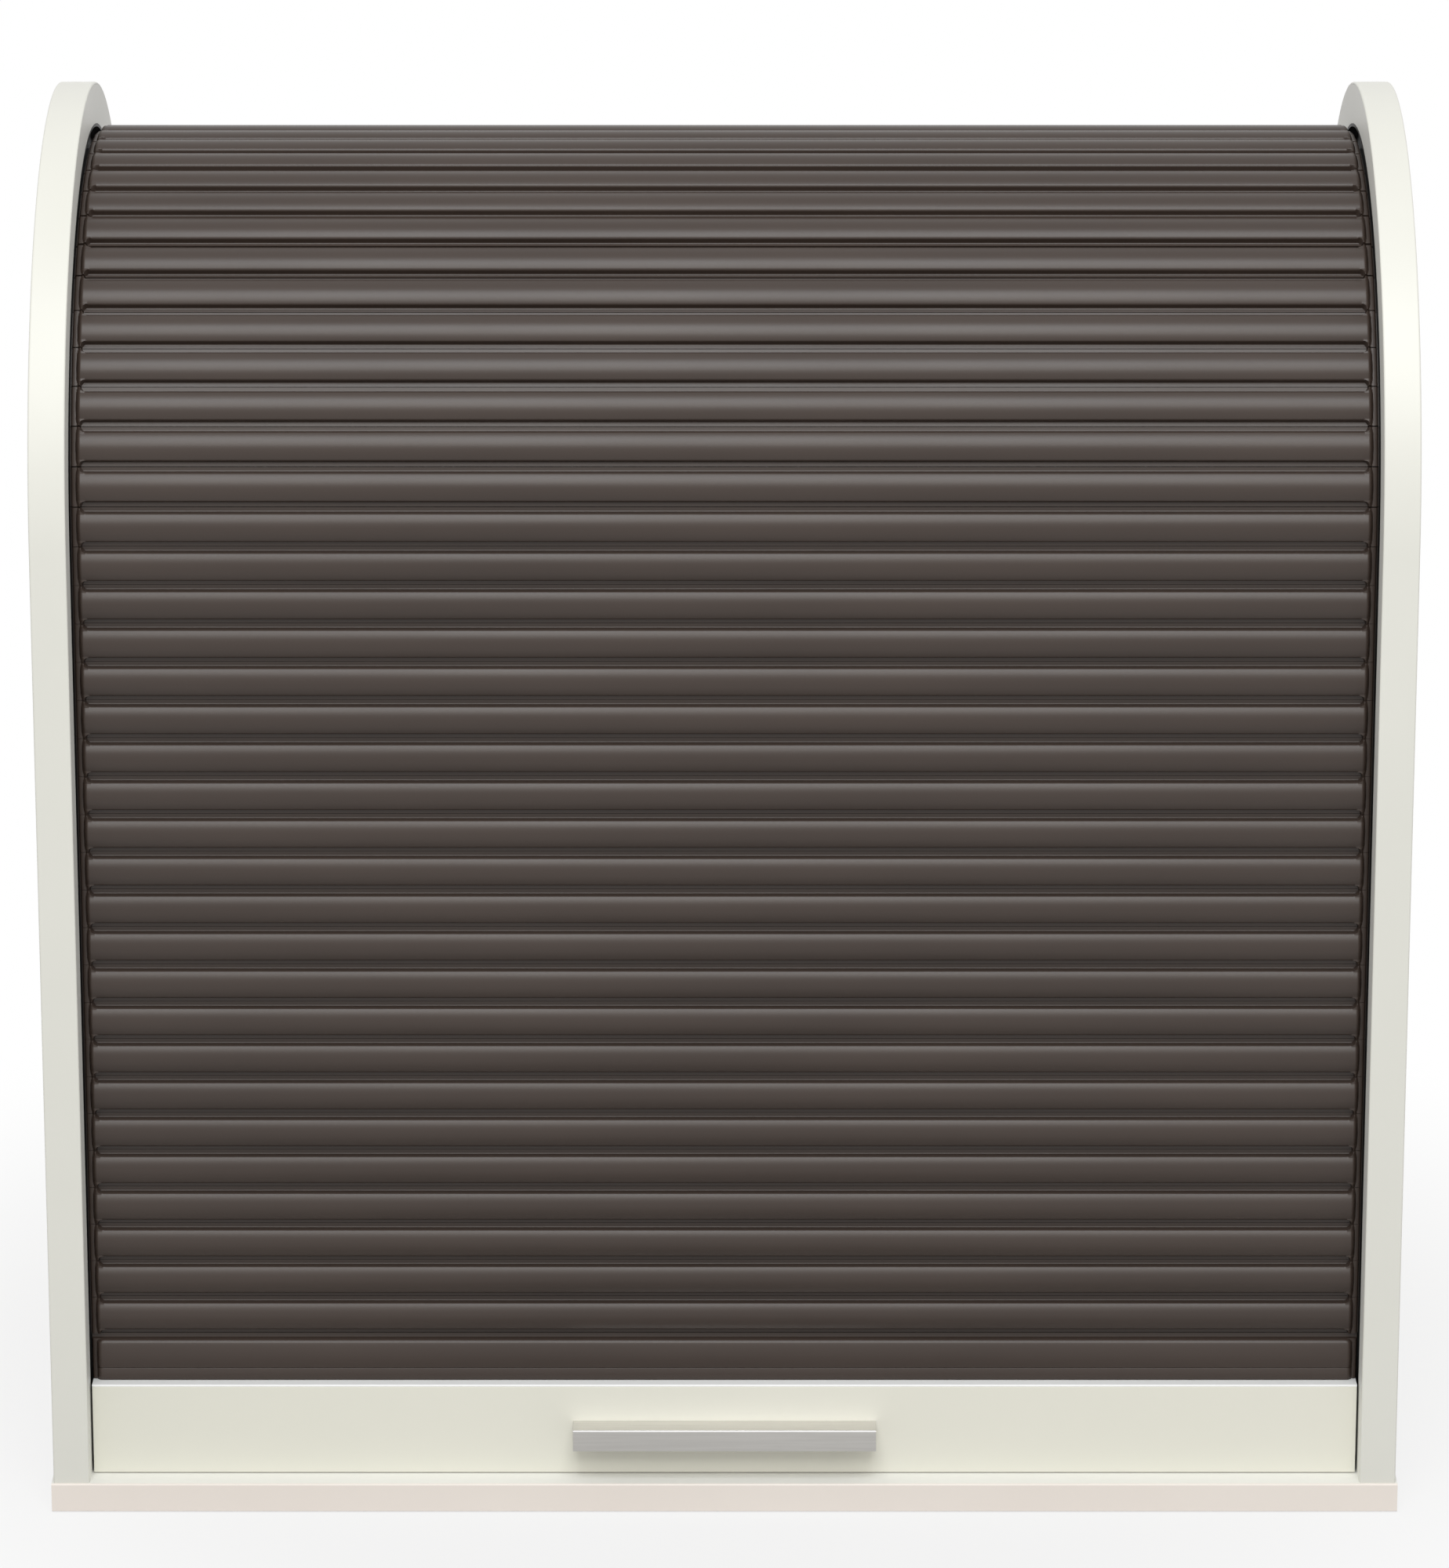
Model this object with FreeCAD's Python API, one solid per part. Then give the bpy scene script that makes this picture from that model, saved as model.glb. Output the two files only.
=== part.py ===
import FreeCAD, Part
import math
import os

# Tambour door cabinet: a curtain of slats runs up the front, over a half-round top and down the back.
# Millimetres. +Z is up, the front faces -Y, and the origin is the middle of the base's underside.

V = FreeCAD.Vector
ALONG_X = V(1, 0, 0)
ALONG_Y = V(0, 1, 0)
ALONG_Z = V(0, 0, 1)

# Overall
overall_width = 600.0
overall_depth = 350.0
straight_height = 425.0

# Boards
base_thickness = 13.0
base_side_overhang = 1.0
base_front_overhang = 1.0
panel_thickness = 16.0
edge_band_thickness = 1.0
top_board_thickness = 16.0
top_board_setback = 40.0
top_board_drop = 10.0
shelf_thickness = 16.0
shelf_setback = 45.0
shelf_side_gap = 1.0
shelf_rear_gap = 2.0
shelf_height = 190.0
rear_panel_thickness = 3.0
inner_back_thickness = 3.0
rear_run_depth = 46.0
inner_back_tongue = 5.0
inner_back_slot_clearance = 0.2

# Guide track
track_front_setback = 23.2
track_rear_setback = 26.2
track_width = 12.6
track_wall = 1.3
track_depth = 7.0
track_fit = 0.1
running_clearance = 0.4
tongue_depth = 5.0

# Curtain
slat_pitch = 17.2
slat_gap = 1.8
groove_width = 4.6
slat_rise = 5.7
slat_wall = 1.6
slat_shoulder = 1.2
slat_end_clearance = 0.3
rib_end_setback = 2.8
cheek_overlap = 0.7
cheek_length = 8.0
arch_tongue_length = 12.0
front_slat_count = 21
arch_slat_count = 7
rear_pair_count = 10

# Closing rail and lead slat
rail_recess = 12.5
rail_thickness = 16.0
rail_height = 41.0
rail_end_gap = 1.0
buffer_height = 1.0
buffer_radius = 5.0
buffer_inset = 42.0
lead_slat_height = 21.4
lead_tongue = 11.0
lead_slot_clearance = 0.2
lead_seat_clearance = 0.2
glide_length = 30.0
glide_peg_radius = 4.0
glide_peg_length = 14.0

# Handle
handle_length = 135.0
handle_top_height = 25.0
handle_lip_height = 10.0
handle_wall = 2.5
handle_foot_width = 7.0
handle_foot_height = 7.5
handle_thread_depth = 8.0

# Fasteners
hole_clearance = 0.05
handle_screw_radius = 2.0
handle_screw_head_radius = 4.0
handle_screw_head_height = 2.6
lead_screw_radius = 1.5
lead_screw_head_radius = 3.0
lead_screw_head_height = 1.6
lead_screw_tip = 2.0
lead_screw_count = 5
lead_screw_inset = 40.0
base_screw_radius = 2.5
base_screw_head_radius = 5.0
base_screw_head_height = 3.0
base_screw_length = 45.0
base_screw_inset = 60.0
base_screw_count = 3
rear_screw_radius = 1.5
rear_screw_head_radius = 3.0
rear_screw_head_height = 2.0
rear_screw_length = 18.0
rear_screw_inset = 40.0
rear_screw_count = 5
cam_radius = 7.5
cam_height = 12.5
cam_setback = 24.0
cam_inset = 45.0
cam_bolt_radius = 3.0
cam_bolt_neck_radius = 2.5
cam_bolt_head_length = 4.0
cam_bolt_depth = 11.0
dowel_radius = 4.0
dowel_length = 30.0
dowel_depth = 12.0
dowel_inset = 90.0
shelf_pin_radius = 2.5
shelf_pin_depth = 8.0
shelf_pin_reach = 7.0
shelf_pin_inset = 37.0
pin_hole_pitch = 32.0
pin_hole_steps = 2

cut_overrun = 1.0

# Places worked out from the sizes above
half_outer = overall_width / 2 - base_side_overhang
half_inner = half_outer - panel_thickness
half_panel_middle = half_outer - panel_thickness / 2
base_top = base_thickness
arch_start = base_top + straight_height
panel_front = -overall_depth / 2 + base_front_overhang
panel_rear = overall_depth / 2 - rear_panel_thickness
panel_depth = panel_rear - panel_front
arch_centre = panel_front + panel_depth / 2

track_front = panel_front + track_front_setback
track_rear = panel_rear - track_rear_setback
track_radius = (track_rear - track_front) / 2
track_centre = (track_rear + track_front) / 2
channel_half = track_width / 2 - track_wall
tongue_half = channel_half - running_clearance

inner_back_front = panel_rear - rear_run_depth
inner_back_rear = inner_back_front + inner_back_thickness
top_board_top = arch_start - top_board_drop
top_board_bottom = top_board_top - top_board_thickness
top_board_middle = top_board_top - top_board_thickness / 2
top_board_front = panel_front + top_board_setback
shelf_bottom = base_top + shelf_height
shelf_front = panel_front + shelf_setback
shelf_rear = inner_back_front - shelf_rear_gap

half_flange = (slat_pitch - slat_gap) / 2
half_rib = (slat_pitch - groove_width) / 2
half_slat = half_inner - slat_end_clearance
half_rib_length = half_inner - rib_end_setback
half_sheet = slat_wall / 2
cheek_depth = track_width / 2 + cheek_overlap
half_cheek = cheek_length / 2

rail_bottom = base_top + buffer_height
rail_top = rail_bottom + rail_height
rail_front = panel_front + rail_recess
rail_rear = rail_front + rail_thickness
half_rail = half_inner - rail_end_gap
lead_slat_top = rail_top + lead_slat_height
rail_middle = rail_bottom + rail_height / 2
lead_screw_height = rail_top - lead_tongue / 2

handle_front = panel_front
handle_top = base_top + handle_top_height
handle_plate_bottom = handle_top - handle_wall
handle_screw_x = handle_length / 2 - handle_foot_width / 2
handle_screw_height = handle_plate_bottom - handle_foot_height / 2


def box(x0, x1, y0, y1, z0, z1):
    return Part.makeBox(x1 - x0, y1 - y0, z1 - z0, V(x0, y0, z0))


def rod(radius, start, end):
    axis = end - start
    return Part.makeCylinder(radius, axis.Length, start, axis)


def spread(first, last, count):
    step = (last - first) / (count - 1)
    return [first + step * index for index in range(count)]


def both_sides(shape):
    return Part.makeCompound([shape.mirror(V(0, 0, 0), ALONG_X), shape])


def mirrored(shape):
    return shape.mirror(V(0, 0, 0), ALONG_X)


def cut_all(shape, tools):
    return shape.cut(Part.makeCompound(tools))


# Upright plate with a half-round top, between two depths
def arch_plate(x0, x1, front, rear, bottom):
    middle = (front + rear) / 2
    crown = arch_start + (rear - front) / 2
    front_foot = V(x0, front, bottom)
    front_spring = V(x0, front, arch_start)
    rear_spring = V(x0, rear, arch_start)
    rear_foot = V(x0, rear, bottom)
    edges = [
        Part.LineSegment(front_foot, front_spring).toShape(),
        Part.Arc(front_spring, V(x0, middle, crown), rear_spring).toShape(),
        Part.LineSegment(rear_spring, rear_foot).toShape(),
        Part.LineSegment(rear_foot, front_foot).toShape(),
    ]
    return Part.Face(Part.Wire(edges)).extrude(V(x1 - x0, 0, 0))


# Band that follows the run of the curtain, from half its width outside the centre line to half inside
def track_band(half_width, x0, x1):
    outer = arch_plate(x0, x1, track_front - half_width, track_rear + half_width, base_top)
    inner = arch_plate(
        x0 - cut_overrun,
        x1 + cut_overrun,
        track_front + half_width,
        track_rear - half_width,
        base_top - cut_overrun,
    )
    return outer.cut(inner)


def screw(head_seat, direction, radius, length, head_radius, head_height):
    shank = Part.makeCylinder(radius, length, head_seat, direction)
    head = Part.makeCylinder(head_radius, head_height, head_seat, -direction)
    return shank.fuse(head)


def sunk_screw(head_face, direction, radius, length, head_radius, head_height):
    shank = Part.makeCylinder(radius, length, head_face, direction)
    head = Part.makeCone(head_radius, radius, head_height, head_face, direction)
    return shank.fuse(head).removeSplitter()


# Places of the repeated fasteners on the right-hand side
base_screw_spots = [
    V(half_panel_middle, y, 0)
    for y in spread(panel_front + base_screw_inset, panel_rear - base_screw_inset, base_screw_count)
]
rear_screw_spots = [
    V(half_panel_middle, panel_rear + rear_panel_thickness, z)
    for z in spread(base_top + rear_screw_inset, arch_start - rear_screw_inset, rear_screw_count)
]
cam_depths = [top_board_front + cam_inset, inner_back_front - cam_inset]
dowel_depths = [top_board_front + dowel_inset, inner_back_front - dowel_inset]
pin_depths = [shelf_front + shelf_pin_inset, shelf_rear - shelf_pin_inset]
pin_height = shelf_bottom - shelf_pin_radius
lead_screw_places = spread(-half_rail + lead_screw_inset, half_rail - lead_screw_inset, lead_screw_count)


# Fasteners
def base_screw(grow):
    return [
        sunk_screw(
            spot, ALONG_Z, base_screw_radius + grow, base_screw_length + grow,
            base_screw_head_radius + grow, base_screw_head_height,
        )
        for spot in base_screw_spots
    ]


def rear_screw(grow):
    return [
        sunk_screw(
            spot, -ALONG_Y, rear_screw_radius + grow, rear_screw_length + grow,
            rear_screw_head_radius + grow, rear_screw_head_height,
        )
        for spot in rear_screw_spots
    ]


def cam_bolt(depth, grow):
    face = V(half_inner, depth, top_board_middle)
    head_start = half_inner - cam_setback - cam_bolt_head_length / 2
    thread = rod(cam_bolt_radius + grow, face, face + V(cam_bolt_depth, 0, 0))
    neck = rod(cam_bolt_neck_radius + grow, V(head_start, depth, top_board_middle), face)
    head = rod(
        cam_bolt_radius + grow,
        V(head_start, depth, top_board_middle),
        V(head_start + cam_bolt_head_length, depth, top_board_middle),
    )
    return Part.makeCompound([thread.fuse(neck).fuse(head).removeSplitter()])


def cam_bore(depth):
    face = V(half_inner, depth, top_board_middle)
    return rod(cam_bolt_radius + hole_clearance, face - V(cam_setback + cam_radius, 0, 0), face)


def cam_housing(depth, grow):
    foot = V(half_inner - cam_setback, depth, top_board_bottom)
    return Part.makeCylinder(cam_radius + grow, cam_height + grow, foot, ALONG_Z)


def dowel(depth, grow):
    start = V(half_inner + dowel_depth + grow, depth, top_board_middle)
    end = V(half_inner + dowel_depth - dowel_length - grow, depth, top_board_middle)
    return rod(dowel_radius + grow, start, end)


def shelf_pin(depth, height, grow):
    start = V(half_inner + shelf_pin_depth + grow, depth, height)
    end = V(half_inner - shelf_pin_reach, depth, height)
    return rod(shelf_pin_radius + grow, start, end)


# Carcass
def make_edge_band():
    outer = arch_plate(half_inner, half_outer, panel_front, panel_rear, base_top)
    core = arch_plate(
        half_inner - cut_overrun,
        half_outer + cut_overrun,
        panel_front + edge_band_thickness,
        panel_rear - edge_band_thickness,
        base_top - cut_overrun,
    )
    rear_edge = box(
        half_inner - cut_overrun, half_outer + cut_overrun,
        arch_centre, panel_rear + cut_overrun,
        base_top - cut_overrun, arch_start,
    )
    return outer.cut(core).cut(rear_edge)


def make_side_panel(edge_band):
    blank = arch_plate(half_inner, half_outer, panel_front, panel_rear, base_top).cut(edge_band)
    groove = track_band(track_width / 2 + track_fit, half_inner - cut_overrun, half_inner + track_depth)
    slot = box(
        half_inner - cut_overrun, half_inner + inner_back_tongue + inner_back_slot_clearance,
        inner_back_front - inner_back_slot_clearance, inner_back_rear + inner_back_slot_clearance,
        base_top - cut_overrun, top_board_top + inner_back_slot_clearance,
    )
    pin_rows = [pin_height + pin_hole_pitch * step for step in range(-pin_hole_steps, pin_hole_steps + 1)]
    holes = [shelf_pin(depth, row, hole_clearance) for depth in pin_depths for row in pin_rows]
    holes += [cam_bolt(depth, hole_clearance) for depth in cam_depths]
    holes += [dowel(depth, hole_clearance) for depth in dowel_depths]
    holes += base_screw(hole_clearance) + rear_screw(hole_clearance)
    return cut_all(blank.cut(groove).cut(slot), holes)


def make_guide_track():
    channel = track_band(channel_half, half_inner - cut_overrun, half_inner + track_depth - track_wall)
    return track_band(track_width / 2, half_inner, half_inner + track_depth).cut(channel)


def make_base():
    half_width = overall_width / 2
    front = -overall_depth / 2
    board = box(-half_width, half_width, front + edge_band_thickness, overall_depth / 2, 0, base_top)
    band = box(-half_width, half_width, front, front + edge_band_thickness, 0, base_top)
    return board.cut(both_sides(Part.makeCompound(base_screw(hole_clearance)))), band


def make_top_board():
    board = box(-half_inner, half_inner, top_board_front, inner_back_front, top_board_bottom, top_board_top)
    holes = [cam_bore(depth) for depth in cam_depths]
    holes += [cam_housing(depth, hole_clearance) for depth in cam_depths]
    holes += [dowel(depth, hole_clearance) for depth in dowel_depths]
    return board.cut(both_sides(Part.makeCompound(holes)))


def make_shelf():
    half_shelf = half_inner - shelf_side_gap
    top = shelf_bottom + shelf_thickness
    board = box(-half_shelf, half_shelf, shelf_front + edge_band_thickness, shelf_rear, shelf_bottom, top)
    band = box(-half_shelf, half_shelf, shelf_front, shelf_front + edge_band_thickness, shelf_bottom, top)
    return board, band


def make_inner_back():
    half_width = half_inner + inner_back_tongue
    return box(-half_width, half_width, inner_back_front, inner_back_rear, base_top, top_board_top)


def make_rear_panel():
    rear = panel_rear + rear_panel_thickness
    panel = box(-half_outer, half_outer, panel_rear, rear, base_top, arch_start)
    return panel.cut(both_sides(Part.makeCompound(rear_screw(hole_clearance))))


# Curtain slat, modelled upright at the origin with its face towards -Y and its bending line on the origin.
# Its end cheeks run along the inner lips of the guide tracks.
def make_slat():
    shoulders = [
        V(0, -half_sheet, -half_rib),
        V(0, -slat_rise + slat_shoulder, -half_rib),
        V(0, -slat_rise, -half_rib + slat_shoulder),
        V(0, -slat_rise, half_rib - slat_shoulder),
        V(0, -slat_rise + slat_shoulder, half_rib),
        V(0, -half_sheet, half_rib),
    ]
    outline = Part.Face(Part.makePolygon(shoulders + shoulders[:1]))
    rib = outline.extrude(V(half_rib_length * 2, 0, 0)).translated(V(-half_rib_length, 0, 0))
    flange = box(-half_slat, half_slat, -half_sheet, half_sheet, -half_flange, half_flange)
    cheek = box(half_rib_length, half_slat, half_sheet, cheek_depth, -half_cheek, half_cheek)
    half_hollow = half_rib_length - slat_wall
    hollow = box(
        -half_hollow, half_hollow,
        -slat_rise + slat_wall, half_sheet + cut_overrun,
        -half_rib + slat_wall, half_rib - slat_wall,
    )
    return flange.fuse(rib).fuse(cheek).fuse(mirrored(cheek)).cut(hollow)


# Slat whose ends carry a tongue that runs in the guide tracks
def make_tongued_slat(slat):
    tongue = box(
        half_slat, half_inner + tongue_depth,
        -tongue_half, tongue_half,
        -arch_tongue_length / 2, arch_tongue_length / 2,
    )
    return slat.fuse(tongue).fuse(mirrored(tongue))


# Seat of a slat by its number: up the front, over the arch, down the back
def seat(shape, number):
    travel = lead_slat_top + slat_pitch * number - slat_pitch / 2 - arch_start
    turn = min(max(travel, 0) / track_radius, math.pi)
    before_arch = min(travel, 0)
    past_arch = max(travel - math.pi * track_radius, 0)
    y = track_centre - track_radius * math.cos(turn)
    z = arch_start + track_radius * math.sin(turn) + before_arch - past_arch
    placed = shape.copy()
    placed.Placement = FreeCAD.Placement(V(0, y, z), FreeCAD.Rotation(ALONG_X, -math.degrees(turn)))
    return placed


# Closing rail and what it carries
def make_closing_rail():
    rail = box(-half_rail, half_rail, rail_front, rail_rear, rail_bottom, rail_top)
    slot = box(
        -half_rail - cut_overrun, half_rail + cut_overrun,
        track_front - half_sheet - lead_slot_clearance, track_front + half_sheet + lead_slot_clearance,
        rail_top - lead_tongue - lead_slot_clearance, rail_top + cut_overrun,
    )
    holes = [glide_peg(hole_clearance), mirrored(glide_peg(hole_clearance))]
    holes += handle_screw(hole_clearance) + lead_screw(hole_clearance)
    return cut_all(rail.cut(slot), holes)


def make_lead_slat():
    rib_bottom = rail_top + lead_seat_clearance
    rib_top = lead_slat_top - groove_width / 2
    face = track_front - slat_rise
    flange = box(
        -half_rail, half_rail,
        track_front - half_sheet, track_front + half_sheet,
        rail_top - lead_tongue, lead_slat_top - slat_gap / 2,
    )
    rib = box(-half_rib_length, half_rib_length, face, track_front - half_sheet, rib_bottom, rib_top)
    top_edge = [edge for edge in rib.Edges if is_rib_shoulder(edge, face, rib_top)]
    half_hollow = half_rib_length - slat_wall
    hollow = box(
        -half_hollow, half_hollow,
        face + slat_wall, track_front + half_sheet + cut_overrun,
        rib_bottom + slat_wall, rib_top - slat_wall,
    )
    return cut_all(flange.fuse(rib.makeChamfer(slat_shoulder, top_edge)).cut(hollow), lead_screw(hole_clearance))


def is_rib_shoulder(edge, face, height):
    middle = edge.CenterOfMass
    return math.isclose(middle.y, face, abs_tol=1e-6) and math.isclose(middle.z, height, abs_tol=1e-6)


def glide_peg(grow):
    return rod(
        glide_peg_radius + grow,
        V(half_rail - glide_peg_length - grow, track_front, rail_middle - glide_peg_radius),
        V(half_rail, track_front, rail_middle - glide_peg_radius),
    )


def make_glide():
    tongue = box(
        half_rail, half_inner + tongue_depth,
        track_front - tongue_half, track_front + tongue_half,
        rail_middle - glide_length / 2, rail_middle + glide_length / 2,
    )
    return tongue.fuse(glide_peg(0))


def make_handle():
    half_length = handle_length / 2
    plate = box(-half_length, half_length, handle_front, rail_front, handle_plate_bottom, handle_top)
    lip = box(
        -half_length, half_length,
        handle_front, handle_front + handle_wall,
        handle_top - handle_lip_height, handle_top,
    )
    foot = box(
        half_length - handle_foot_width, half_length,
        handle_front + handle_wall, rail_front,
        handle_plate_bottom - handle_foot_height, handle_plate_bottom,
    )
    profile = plate.fuse(lip).fuse(foot).fuse(mirrored(foot)).removeSplitter()
    return cut_all(profile, handle_screw(hole_clearance))


def handle_screw(grow):
    length = rail_thickness + handle_thread_depth
    return [
        screw(
            V(x, rail_rear, handle_screw_height), -ALONG_Y, handle_screw_radius + grow, length + grow,
            handle_screw_head_radius, handle_screw_head_height,
        )
        for x in (-handle_screw_x, handle_screw_x)
    ]


def lead_screw(grow):
    length = rail_rear - track_front + half_sheet + lead_screw_tip
    return [
        screw(
            V(x, rail_rear, lead_screw_height), -ALONG_Y, lead_screw_radius + grow, length + grow,
            lead_screw_head_radius, lead_screw_head_height,
        )
        for x in lead_screw_places
    ]


def make_buffer():
    foot = V(half_rail - buffer_inset, rail_front + rail_thickness / 2, base_top)
    return Part.makeCylinder(buffer_radius, buffer_height, foot, ALONG_Z)


# Every node by name
def make_nodes():
    nodes = {}
    edge_band = make_edge_band()
    side_panel = make_side_panel(edge_band)
    guide_track = make_guide_track()
    for side, place in (("left", mirrored), ("right", lambda shape: shape)):
        nodes[side + "_side_panel"] = place(side_panel)
        nodes[side + "_edge_band"] = place(edge_band)
        nodes[side + "_guide_track"] = place(guide_track)
    nodes["base_board"], nodes["base_edge_band"] = make_base()
    nodes["top_board"] = make_top_board()
    nodes["shelf"], nodes["shelf_edge_band"] = make_shelf()
    nodes["inner_back_panel"] = make_inner_back()
    nodes["rear_panel"] = make_rear_panel()
    nodes["base_screws"] = both_sides(Part.makeCompound(base_screw(0)))
    nodes["rear_panel_screws"] = both_sides(Part.makeCompound(rear_screw(0)))
    bolts = [cam_bolt(depth, 0) for depth in cam_depths]
    housings = [cam_housing(depth, 0).cut(cam_bore(depth)) for depth in cam_depths]
    nodes["cam_bolts"] = both_sides(Part.makeCompound(bolts))
    nodes["cam_housings"] = both_sides(Part.makeCompound(housings))
    nodes["wood_dowels"] = both_sides(Part.makeCompound([dowel(depth, 0) for depth in dowel_depths]))
    nodes["shelf_pins"] = both_sides(Part.makeCompound([shelf_pin(d, pin_height, 0) for d in pin_depths]))

    nodes["closing_rail"] = make_closing_rail()
    nodes["rail_glides"] = both_sides(make_glide())
    nodes["rail_buffers"] = both_sides(make_buffer())
    nodes["pull_handle"] = make_handle()
    nodes["handle_screws"] = Part.makeCompound(handle_screw(0))
    nodes["lead_slat"] = make_lead_slat()
    nodes["lead_slat_screws"] = Part.makeCompound(lead_screw(0))

    slat = make_slat()
    tongued_slat = make_tongued_slat(slat)
    for number in range(1, front_slat_count + 1):
        nodes[f"slat_{number:02d}"] = seat(slat, number)
    first_arch = front_slat_count + 1
    first_rear = first_arch + arch_slat_count
    nodes["arch_slats"] = Part.makeCompound([seat(tongued_slat, n) for n in range(first_arch, first_rear)])
    for pair in range(rear_pair_count):
        upper = first_rear + 2 * pair
        nodes[f"rear_slats_{pair + 1:02d}"] = Part.makeCompound([seat(slat, upper), seat(slat, upper + 1)])
    return nodes


os.makedirs("parts", exist_ok=True)
for name, shape in make_nodes().items():
    shape.exportStep(f"parts/{name}.step")
    print(name, len(shape.Solids), "solids", round(shape.Volume), "mm3", "valid" if shape.isValid() else "INVALID")
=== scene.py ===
import bpy
import numpy as np
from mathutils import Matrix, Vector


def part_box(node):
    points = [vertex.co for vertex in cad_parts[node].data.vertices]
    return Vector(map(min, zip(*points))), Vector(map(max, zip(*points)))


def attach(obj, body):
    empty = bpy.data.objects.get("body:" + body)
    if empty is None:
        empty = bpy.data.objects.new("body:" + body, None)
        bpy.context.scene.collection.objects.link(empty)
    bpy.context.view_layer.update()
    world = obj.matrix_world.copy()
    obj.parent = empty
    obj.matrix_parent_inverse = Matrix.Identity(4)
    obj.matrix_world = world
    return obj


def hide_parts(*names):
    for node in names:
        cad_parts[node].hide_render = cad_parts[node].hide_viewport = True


# Tambour door cabinet. Sizes of the object are in millimetres and become metres when a mesh is made.
# +Z is up, the front faces -Y, and the object stands on z = 0.

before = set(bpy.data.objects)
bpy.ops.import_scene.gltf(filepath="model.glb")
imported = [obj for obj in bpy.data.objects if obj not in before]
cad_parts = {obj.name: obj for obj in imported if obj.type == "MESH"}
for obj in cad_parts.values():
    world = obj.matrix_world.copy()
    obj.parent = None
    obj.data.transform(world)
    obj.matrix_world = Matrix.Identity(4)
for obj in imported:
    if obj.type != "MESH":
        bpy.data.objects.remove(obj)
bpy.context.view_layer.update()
print("frame loaded with", len(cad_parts), "nodes")

millimetre = 0.001          # in metres, Blender's unit


# A node's sides in the frame at rest, in millimetres.
def nodeBox(node):
    low, high = [(np.array(corner) / millimetre).round(3).tolist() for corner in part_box(node)]
    return dict(left=low[0], right=high[0], front=low[1], rear=high[1], bottom=low[2], top=high[2])


bandBox = nodeBox("right_edge_band")
cabinet = dict(
    halfWidth=bandBox["right"],                 # outside of the side panels
    halfInside=bandBox["left"],                 # between the side panels
    panelFront=bandBox["front"],
    archCentre=(bandBox["front"] + bandBox["rear"]) / 2,
    archRadius=(bandBox["rear"] - bandBox["front"]) / 2,
    archStart=nodeBox("rear_panel")["top"],     # where the straight sides end
    baseTop=bandBox["bottom"],
)


# mesh making

sharpAngle = 38.0           # degrees; a sharper edge stays hard
thinSupport = 0.05          # for the corners of strips about a millimetre thick


def addObject(name, data):
    added = bpy.data.objects.new(name, data)
    bpy.context.scene.collection.objects.link(added)
    return added


# Loops of points (rows x columns x 3): neighbours are joined by quads, the columns close on themselves,
# and the first and last rows are closed by one face each. Several such tubes can share one mesh.
def tubesToMesh(name, tubes):
    points, faces, start = [], [], 0
    for tube in tubes:
        rows, cols = tube.shape[:2]
        index = np.arange(rows * cols).reshape(rows, cols) + start
        across = np.roll(index, -1, axis=1)
        quads = np.stack([index[:-1], across[:-1], across[1:], index[1:]], axis=-1).reshape(-1, 4)
        sides = quads.tolist() + [index[0, ::-1].tolist(), index[-1].tolist()]
        corners = tube[:-1]
        normals = np.cross(np.roll(corners, -1, axis=1) - corners, tube[1:] - corners)
        outwards = corners - tube.reshape(-1, 3).mean(axis=0)
        if (normals * outwards).sum() < 0:      # inside out, so every face is wound the other way
            sides = [side[::-1] for side in sides]
        faces += sides
        points.append(tube.reshape(-1, 3))
        start += rows * cols
    mesh = bpy.data.meshes.new(name)
    mesh.from_pydata((np.concatenate(points) * millimetre).tolist(), [], faces)
    mesh.update()
    mesh.shade_smooth()
    mesh.set_sharp_from_angle(angle=np.radians(sharpAngle))
    return addObject(name, mesh)


# Angles from 0 to 90 degrees.
def quarterTurn(steps):
    return np.linspace(0, np.pi / 2, steps)


# Stations that crowd towards an end: the end less a reach times one minus the sine of a quarter turn.
def crowdTo(end, reach, steps):
    return end - reach * (1 - np.sin(quarterTurn(steps)))


# The height left on a quarter ellipse at a share of its length: the root of one minus the share squared.
def quarterEllipse(share):
    return np.sqrt(1 - np.clip(share, 0, 1) ** 2)


# Corners of a rectangle from two ranges, in order round it.
def rectangle(near, far, low, high):
    return [(near, low), (far, low), (far, high), (near, high)]


# A closed outline with each corner rounded: the arc's centre lies on the corner's bisector, and the arc's
# points are its two end directions mixed and set to the radius. A point just past each arc keeps the
# flats flat.
def roundCorners(corners, radii, steps=6, support=0.25):
    corners = np.asarray(corners, float)
    radii = np.broadcast_to(np.asarray(radii, float), (len(corners),))[:, None]
    before = np.roll(corners, 1, axis=0) - corners
    after = np.roll(corners, -1, axis=0) - corners
    before = before / np.linalg.norm(before, axis=1, keepdims=True)
    after = after / np.linalg.norm(after, axis=1, keepdims=True)
    half = np.arccos(np.clip((before * after).sum(axis=1, keepdims=True), -1, 1)) / 2
    reach = radii / np.tan(half)
    bisector = before + after
    bisector = bisector / np.linalg.norm(bisector, axis=1, keepdims=True)
    centre = corners + bisector * radii / np.sin(half)
    first, last = corners + before * reach, corners + after * reach
    share = np.linspace(0, 1, steps)[None, :, None]
    spoke = (first - centre)[:, None] * (1 - share) + (last - centre)[:, None] * share
    spoke = spoke / np.linalg.norm(spoke, axis=2, keepdims=True)
    arc = centre[:, None] + spoke * radii[:, None]
    lead, tail = (first + before * support)[:, None], (last + after * support)[:, None]
    return np.concatenate([lead, arc, tail], axis=1).reshape(-1, 2)


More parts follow.
